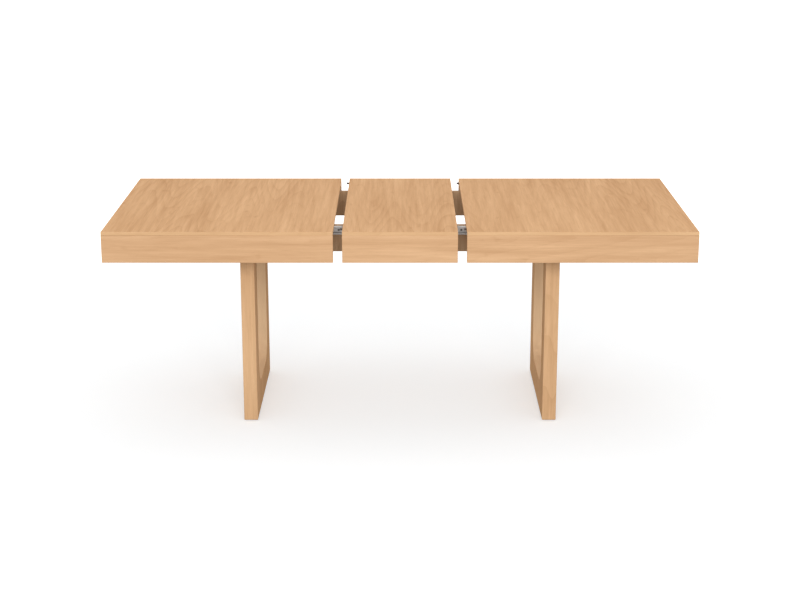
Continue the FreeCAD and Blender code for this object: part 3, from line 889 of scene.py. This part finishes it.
def countersinks(node, low, high):
    """Cutter with a countersunk hole for each screw of a node whose head lies in a box."""
    screws = bpy.context.scene.table_screws
    head, shank = screws.head_radius + HOLE_ROOM, screws.shank_radius + HOLE_ROOM
    profile = [(0, -HOLE_OVERRUN), (head, -HOLE_OVERRUN), (head, 0), (shank, screws.head_depth),
               (shank, HOLE_DEPTH), (0, HOLE_DEPTH)]
    tool = bmesh.new()
    for solid in solids_of(node):
        point, way = head_and_way(solid)
        spans = zip(low, point, high)
        if all(start - HOLE_OVERRUN < part < end + HOLE_OVERRUN for start, part, end in spans):
            turned(tool, profile, point, way, SCREW_SIDES)
    return tool


def slide_bar(node, name, channel, row, screw_node):
    """Rolled bar of a slide: a channel with turned-in lips, or a runner."""
    shapes = bpy.context.scene.table_shapes
    low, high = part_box(node)
    half = shapes.sheet / 2
    top = (high.z - low.z) / 2 - half
    middle = (high.z + low.z) / 2
    near = high.y if row < 0 else low.y
    depth = high.y - low.y
    # Half of the section, as pairs outward and up, with its mirror image below
    if channel:
        lip = top + half - shapes.sheet - shapes.lip
        path = [(depth - half, lip), (depth - half, top), (half, top)]
    else:
        path = [(0, top), (depth - half, top)]
    path += [(out, -up) for out, up in reversed(path)]
    section = sheet_section(path, shapes.sheet, shapes.bend, shapes.bend_steps)
    outline = [(near + row * point.x, middle + point.y) for point in section]
    bm = bmesh.new()
    extruded(bm, outline, "X", low.x, high.x)
    bm = carved(bm, countersinks(screw_node, low, high))
    for face in bm.faces:
        face.smooth = max(abs(part) for part in face.normal) < FLAT_SHARE
    piece(node, name, bm, "slide_steel")


class TABLE_OT_slides(bpy.types.Operator):
    """Make the fixed channels and the runners of the ball slides, and dress the ball cages"""

    bl_idname = "table.slides"
    bl_label = "Slides"

    def execute(self, context):
        for side in SIDES:
            for row_name, row in ROWS.items():
                name = f"{side}_{row_name}"
                slide_bar(name + "_channel", name + "_rolled_channel", True, row, "base_screws")
                slide_bar(name + "_runner", name + "_rolled_runner", False, row, side + "_half_screws")
            dress(side + "_ball_cages", "cage_steel")
        return {"FINISHED"}


class TABLE_OT_brackets(bpy.types.Operator):
    """Make the bent angle brackets with their countersunk holes"""

    bl_idname = "table.brackets"
    bl_label = "Angle brackets"

    def execute(self, context):
        node = "angle_brackets"
        shapes = context.scene.table_shapes
        half = shapes.bracket_sheet / 2
        bm = bmesh.new()
        for solid in solids_of(node):
            xs, ys, levels = zip(solid.low, solid.high)
            corners = [Vector((x, y)) for x in xs for y in ys]
            # Seen from above an angle leaves one corner of its box empty, and bends at the one across
            empty = max(corners, key=lambda corner: np.hypot(*(solid.points[:, :2] - corner).T).min())
            bend = Vector((sum(xs), sum(ys))) - empty
            inner = bend + Vector([math.copysign(half, part) for part in empty - bend])
            path = [(empty.x, inner.y), inner, (inner.x, empty.y)]
            section = sheet_section(path, shapes.bracket_sheet, shapes.bracket_bend, shapes.bracket_steps)
            extruded(bm, section, "Z", *levels)
        soften(bm, shapes.metal_arris, steps=1)
        bm = carved(bm, countersinks("base_screws", *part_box(node)))
        piece(node, node + "_bent", bm, "zinc_steel")
        return {"FINISHED"}


# Fasteners and balls, made by Geometry Nodes

BALL_SEGMENTS = 16
BALL_RINGS = 10
# Chamfer on a bolt's head, as shares of the head's radius and height
CROWN_SHARES = ((0.82, 0.0), (1.02, 0.3), (1.02, 1.0))
# Start of a bolt's shank inside its head, and the chamfer and radius at its end, as shares of head and shank
SHANK_START_SHARE = 0.5
POINT_LENGTH_SHARE = 0.25
POINT_RADIUS_SHARE = 0.75


class Repeat(Graph):
    """Geometry Nodes tree that puts a shape at each point of a mesh."""

    def __init__(self, name, sizes):
        tree = bpy.data.node_groups.new(name, "GeometryNodeTree")
        super().__init__(tree)
        kinds = {"points": "Geometry", **dict.fromkeys(sizes, "Float"), "finish": "Material"}
        for key, kind in kinds.items():
            tree.interface.new_socket(key, in_out="INPUT", socket_type="NodeSocket" + kind)
        tree.interface.new_socket("geometry", in_out="OUTPUT", socket_type="NodeSocketGeometry")
        # Called with the name of an input, this gives its field
        self.size = self.node("NodeGroupInput", output="points").output

    def rings(self, sides, pairs):
        """Turned solid from pairs of radius and height, each a field or a number."""
        steps = len(pairs) - 1
        sockets = {"Vertices": sides, "Side Segments": steps, "Radius": 1.0, "Depth": float(steps)}
        mesh = self.node("GeometryNodeMeshCylinder", sockets, "Mesh", fill_type="NGON")
        x, y, z = self.parts(self.node("GeometryNodeInputPosition"))
        ring = self.math("ROUND", z + steps / 2)
        radius, height = (
            self.node("GeometryNodeIndexSwitch",
                      {"Index": ring, **{str(step): value for step, value in enumerate(values)}},
                      items=len(pairs), data_type="FLOAT")
            for values in zip(*pairs))
        place = self.vector(x * radius, y * radius, height)
        return self.node("GeometryNodeSetPosition", {"Geometry": mesh, "Position": place})

    def boolean(self, operation, first, other):
        """Solid cut by another one, met with it or joined to it."""
        cut = {"Mesh 1": first, "Mesh 2": other}
        sockets = cut if operation == "DIFFERENCE" else {"Mesh 2": [first, other]}
        return self.node("GeometryNodeMeshBoolean", sockets, operation=operation, solver="EXACT")

    def box(self, *size):
        """Box about the origin."""
        return self.node("GeometryNodeMeshCube", {"Size": self.vector(*size)}, "Mesh")

    def close(self, shape):
        """Put the shape at each point, turned to the point's way, and end the tree."""
        way = self.node("GeometryNodeInputNamedAttribute", {"Name": "way"}, data_type="FLOAT_VECTOR")
        turn = self.node("FunctionNodeAlignRotationToVector", {"Vector": way}, axis="Z")
        sockets = {"Points": self.size("points"), "Instance": shape, "Rotation": turn}
        copies = self.node("GeometryNodeInstanceOnPoints", sockets)
        real = self.node("GeometryNodeRealizeInstances", {"Geometry": copies})
        done = self.node("GeometryNodeSetMaterial", {"Geometry": real, "Material": self.size("finish")})
        self.node("NodeGroupOutput", {"geometry": done})


def screw_shape(tree):
    """Countersunk screw with a cross slot."""
    size = tree.size
    shank, long = size("shank_radius"), size("length")
    body = tree.rings(SCREW_SIDES, [(size("head_radius"), 0.0), (shank, size("head_depth")),
                                    (shank, long - size("tip_length")), (size("tip_radius"), long)])
    width, reach, deep = size("slot_width"), size("slot_length"), size("slot_depth") * 2
    for slot in (tree.box(width, reach, deep), tree.box(reach, width, deep)):
        body = tree.boolean("DIFFERENCE", body, slot)
    return body


def bolt_shape(tree):
    """Hexagon bolt with a chamfered head."""
    radius, height, shank = map(tree.size, ("head_radius", "head_height", "shank_radius"))
    end = height + tree.size("shank_length")
    hexagon = tree.rings(6, [(radius, 0.0), (radius, height)])
    crown = tree.rings(SCREW_SIDES, [(radius * wide, height * up) for wide, up in CROWN_SHARES])
    start, point = height * SHANK_START_SHARE, end - shank * POINT_LENGTH_SHARE
    stem = tree.rings(SCREW_SIDES, [(shank, start), (shank, point), (shank * POINT_RADIUS_SHARE, end)])
    return tree.boolean("UNION", tree.boolean("INTERSECT", hexagon, crown), stem)


def ball_shape(tree):
    """Steel ball."""
    sockets = {"Segments": BALL_SEGMENTS, "Rings": BALL_RINGS, "Radius": tree.size("radius")}
    return tree.node("GeometryNodeMeshUVSphere", sockets, "Mesh")


def repeated(name, shape, places, sizes, finish_name, sharp=SHARP):
    """Plain mesh of a shape at each place, which is a point and a way."""
    tree_name = shape.__name__
    if tree_name not in bpy.data.node_groups:
        tree = Repeat(tree_name, sizes)
        tree.close(shape(tree))
    points, ways = zip(*places)
    mesh = bpy.data.meshes.new(name)
    mesh.from_pydata(points, [], [])
    attribute = mesh.attributes.new("way", "FLOAT_VECTOR", "POINT")
    attribute.data.foreach_set("vector", [part for way in ways for part in way])
    seed = added(name + "_points", mesh)
    modifier = seed.modifiers.new(name, "NODES")
    modifier.node_group = bpy.data.node_groups[tree_name]
    values = {**sizes, "finish": finish_of(finish_name)}
    for item in modifier.node_group.interface.items_tree:
        if item.name in values:
            modifier[item.identifier] = values[item.name]
    made = applied(seed)
    made.polygons.foreach_set("use_smooth", [True] * len(made.polygons))
    made.set_sharp_from_angle(angle=sharp)
    return made


class TABLE_OT_balls(bpy.types.Operator):
    """Make the balls of the slides"""

    bl_idname = "table.balls"
    bl_label = "Slide balls"

    def execute(self, context):
        for side in SIDES:
            node = side + "_balls"
            solids = solids_of(node)
            sizes = {"radius": float(solids[0].size.max()) / 2}
            places = [(Vector(solid.middle), (0, 0, 1)) for solid in solids]
            mesh = repeated(node, ball_shape, places, sizes, "ball_chrome", sharp=math.pi)
            piece(node, node + "_polished", mesh, "ball_chrome")
        return {"FINISHED"}


class TABLE_OT_fasteners(bpy.types.Operator):
    """Make the countersunk screws and hexagon bolts, and dress the inserts"""

    bl_idname = "table.fasteners"
    bl_label = "Screws and bolts"

    def execute(self, context):
        screws = (screw_shape, context.scene.table_screws, "screw_steel")
        kinds = dict.fromkeys(("base_screws", "left_half_screws", "right_half_screws"), screws)
        kinds["leg_bolts"] = (bolt_shape, context.scene.table_bolts, "zinc_steel")
        for node, (shape, settings, finish_name) in kinds.items():
            places = [head_and_way(solid) for solid in solids_of(node)]
            sizes = {key: getattr(settings, key) for key in type(settings).__annotations__}
            mesh = repeated(node, shape, places, sizes, finish_name)
            piece(node, node + "_turned", mesh, "screw_steel")
        dress("leg_inserts", "brass")
        return {"FINISHED"}


# Pins, locks and soft pieces

# Nose of a pin, as shares of its radius and heights
NOSE = ((0.7, 0), (0.9, 0.3 * MM), (1, 1 * MM))
# Groove round a pin, as shares of its radius and length
GROOVE_SHARES = ((1, 0.28), (0.86, 0.29), (0.86, 0.31), (1, 0.32))
# Points of a foot glide beyond this share of its radius are on its disc
RIM_SHARE = 0.98
# Sole of a foot glide, as shares of its radius and of the height of its disc
SOLE_SHARES = ((0.86, 0), (0.95, 0.12), (1, 0.5))


def pin_profile(pin):
    """Half section of a pin from its nose to its end."""
    radius, long = pin.size[1] / 2, pin.size[0]
    nose = [(radius * wide, height) for wide, height in NOSE]
    groove = [(radius * wide, long * along) for wide, along in GROOVE_SHARES]
    return [(0, 0), *nose, *groove, (radius, long), (0, long)]


def bush_profile(bush):
    """Half section of a bush, with a chamfer at its mouth."""
    outer, long = bush.size[1] / 2, bush.size[0]
    bore = np.hypot(*(bush.points - bush.middle)[:, 1:].T).min()
    chamfer = (outer - bore) / 2
    mouth = (bore + chamfer, 0)
    return [mouth, (outer, 0), (outer, long), (bore, long), (bore, chamfer), mouth]


def glide_profile(glide):
    """Half section of a foot glide from its sole up."""
    radius = glide.size[0] / 2
    rim = np.hypot(*(glide.points - glide.middle)[:, :2].T) > radius * RIM_SHARE
    thick = np.ptp(glide.points[rim, 2])
    sole = [(radius * wide, thick * up) for wide, up in SOLE_SHARES]
    return [(0, 0), *sole, (radius, thick), (0, thick)]


class TABLE_OT_pins(bpy.types.Operator):
    """Make the alignment pins and the bushes that take them"""

    bl_idname = "table.pins"
    bl_label = "Pins and bushes"

    def execute(self, context):
        for node in ("leaf_pins", "right_pins"):
            piece(node, node + "_turned", turned_solids(node, pin_profile, (1, 0, 0)), "pin_steel")
        for node in ("left_pin_bushes", "leaf_pin_bushes"):
            piece(node, node + "_turned", turned_solids(node, bush_profile, (-1, 0, 0)), "brass")
        return {"FINISHED"}


class TABLE_OT_locks(bpy.types.Operator):
    """Make the locks with their plates, levers and keepers"""

    bl_idname = "table.locks"
    bl_label = "Locks"

    def execute(self, context):
        names = {}
        for side in SIDES:
            names[side + "_lock_plate"] = side + "_pivot_plate"
            names[side + "_lock_lever"] = side + "_lever"
        names["lock_keepers"] = "keeper_studs"
        for node, name in names.items():
            bm = cleaned(node)
            soften(bm, context.scene.table_shapes.metal_arris, steps=1)
            piece(node, name, bm, "lock_steel")
        return {"FINISHED"}


class TABLE_OT_soft(bpy.types.Operator):
    """Make the felt pads, rubber buffers and foot glides"""

    bl_idname = "table.soft"
    bl_label = "Pads, buffers and glides"

    def execute(self, context):
        shapes = context.scene.table_shapes
        bar("leaf_pads", "felt_pads", shapes.felt_arris, "felt", steps=3)
        bar("travel_stops", "rubber_buffers", shapes.rubber_arris, "rubber", steps=4)
        glides = turned_solids("leg_glides", glide_profile, (0, 0, 1))
        piece("leg_glides", "foot_glides", glides, "glide_plastic")
        return {"FINISHED"}


# Stage, in metres

FLOOR_REACH = 40
LAMP_PLACES = {"front_lamp": (0, -5.2, 2.5), "back_lamp": (0, 4.6, 4.2)}
LAMP_SIZE = (3.0, 1.6)
LAMP_TARGET = (0, 0, 0.5)
# Width of the camera's frame, in millimetres
FRAME_WIDTH = 36
WHITE = opaque((1, 1, 1))


def stage_floor(settings):
    """White floor that keeps a soft shadow, and is clear from below."""
    mesh = bpy.data.meshes.new("floor")
    corners = [(-1, -1), (1, -1), (1, 1), (-1, 1)]
    mesh.from_pydata([(x * FLOOR_REACH, y * FLOOR_REACH, 0) for x, y in corners], [], [(0, 1, 2, 3)])
    finish = Finish("floor_white")
    seen = finish.seen()
    lit = finish.mix(seen, opaque(settings.floor, settings.bounce), opaque(settings.floor))
    matt = finish.node("ShaderNodeBsdfDiffuse", {"Color": lit})
    glow = finish.node("ShaderNodeEmission", {"Color": WHITE, "Strength": settings.glow})
    x, y, _ = finish.place
    near = 1 - finish.step((x * x + y * y) ** 0.5, settings.fade_start, settings.fade_end)
    share = seen * (1 - near * settings.shadow)
    shown = finish.node("ShaderNodeMixShader", {0: share, 1: matt, 2: glow})
    below = finish.node("ShaderNodeNewGeometry", output="Backfacing")
    clear = finish.node("ShaderNodeBsdfTransparent")
    sided = finish.node("ShaderNodeMixShader", {0: below, 1: shown, 2: clear})
    finish.node("ShaderNodeOutputMaterial", {"Surface": sided})
    mesh.materials.append(finish.material)
    floor = added("floor", mesh)


def stage_sky(settings):
    """Even light all round, seen as white."""
    world = bpy.data.worlds.new("studio")
    world.use_nodes = True
    bpy.context.scene.world = world
    graph = Graph(world.node_tree)
    light = graph.node("ShaderNodeBackground", {"Color": WHITE, "Strength": settings.sky})
    white = graph.node("ShaderNodeBackground", {"Color": WHITE, "Strength": 1.0})
    shown = graph.node("ShaderNodeMixShader", {0: graph.seen(), 1: light, 2: white})
    graph.node("ShaderNodeOutputWorld", {"Surface": shown})


def stage_lamp(name, watts, place):
    """Large soft lamp that faces the table."""
    lamp = bpy.data.lights.new(name, "AREA")
    lamp.shape = "RECTANGLE"
    lamp.size, lamp.size_y = LAMP_SIZE
    lamp.energy = watts
    obj = added(name, lamp)
    obj.location = place
    obj.rotation_euler = (Vector(LAMP_TARGET) - obj.location).to_track_quat("-Z", "Y").to_euler()


def stage_camera(settings):
    """Camera before the table that looks down on it, with no shift."""
    data = bpy.data.cameras.new("camera")
    data.lens = settings.lens
    data.sensor_width = FRAME_WIDTH
    camera = added("camera", data)
    camera.location = (0, -settings.distance, settings.height)
    camera.rotation_euler = (QUARTER - settings.pitch, 0, 0)
    bpy.context.scene.camera = camera


class TABLE_OT_stage(bpy.types.Operator):
    """Make the white stage, its light and the camera"""

    bl_idname = "table.stage"
    bl_label = "Stage"

    def execute(self, context):
        settings = context.scene.table_stage
        context.scene.view_settings.view_transform = "Standard"
        stage_floor(settings)
        stage_sky(settings)
        for name, place in LAMP_PLACES.items():
            stage_lamp(name, getattr(settings, name), place)
        stage_camera(settings)
        return {"FINISHED"}


# Add-on

SETTINGS = {"table_finishes": FinishSettings, "table_shapes": ShapeSettings, "table_screws": ScrewSettings,
            "table_bolts": BoltSettings, "table_stage": StageSettings}
OPERATORS = (TABLE_OT_boards, TABLE_OT_aprons, TABLE_OT_legs, TABLE_OT_rails, TABLE_OT_battens,
             TABLE_OT_slides, TABLE_OT_balls, TABLE_OT_fasteners, TABLE_OT_brackets, TABLE_OT_pins,
             TABLE_OT_locks, TABLE_OT_soft, TABLE_OT_stage)


class TABLE_PT_pieces(bpy.types.Panel):
    """Pieces of the table and the settings that change them"""

    bl_label = "Extending table"
    bl_space_type = "VIEW_3D"
    bl_region_type = "UI"
    bl_category = "Table"

    def draw(self, context):
        for operator in OPERATORS:
            self.layout.operator(operator.bl_idname)
        for name, group in SETTINGS.items():
            box = self.layout.box()
            for key in group.__annotations__:
                box.prop(getattr(context.scene, name), key)


def register():
    """Register the settings, operators and panel."""
    for name, group in SETTINGS.items():
        bpy.utils.register_class(group)
        setattr(bpy.types.Scene, name, bpy.props.PointerProperty(type=group))
    for operator in OPERATORS:
        bpy.utils.register_class(operator)
    bpy.utils.register_class(TABLE_PT_pieces)


def unregister():
    """Take the settings, operators and panel away again."""
    bpy.utils.unregister_class(TABLE_PT_pieces)
    for operator in reversed(OPERATORS):
        bpy.utils.unregister_class(operator)
    for name, group in SETTINGS.items():
        delattr(bpy.types.Scene, name)
        bpy.utils.unregister_class(group)


def main():
    """Make every piece and the stage."""
    register()
    for operator in OPERATORS:
        getattr(bpy.ops.table, operator.bl_idname.split(".")[1])()


if __name__ == "__main__":
    main()
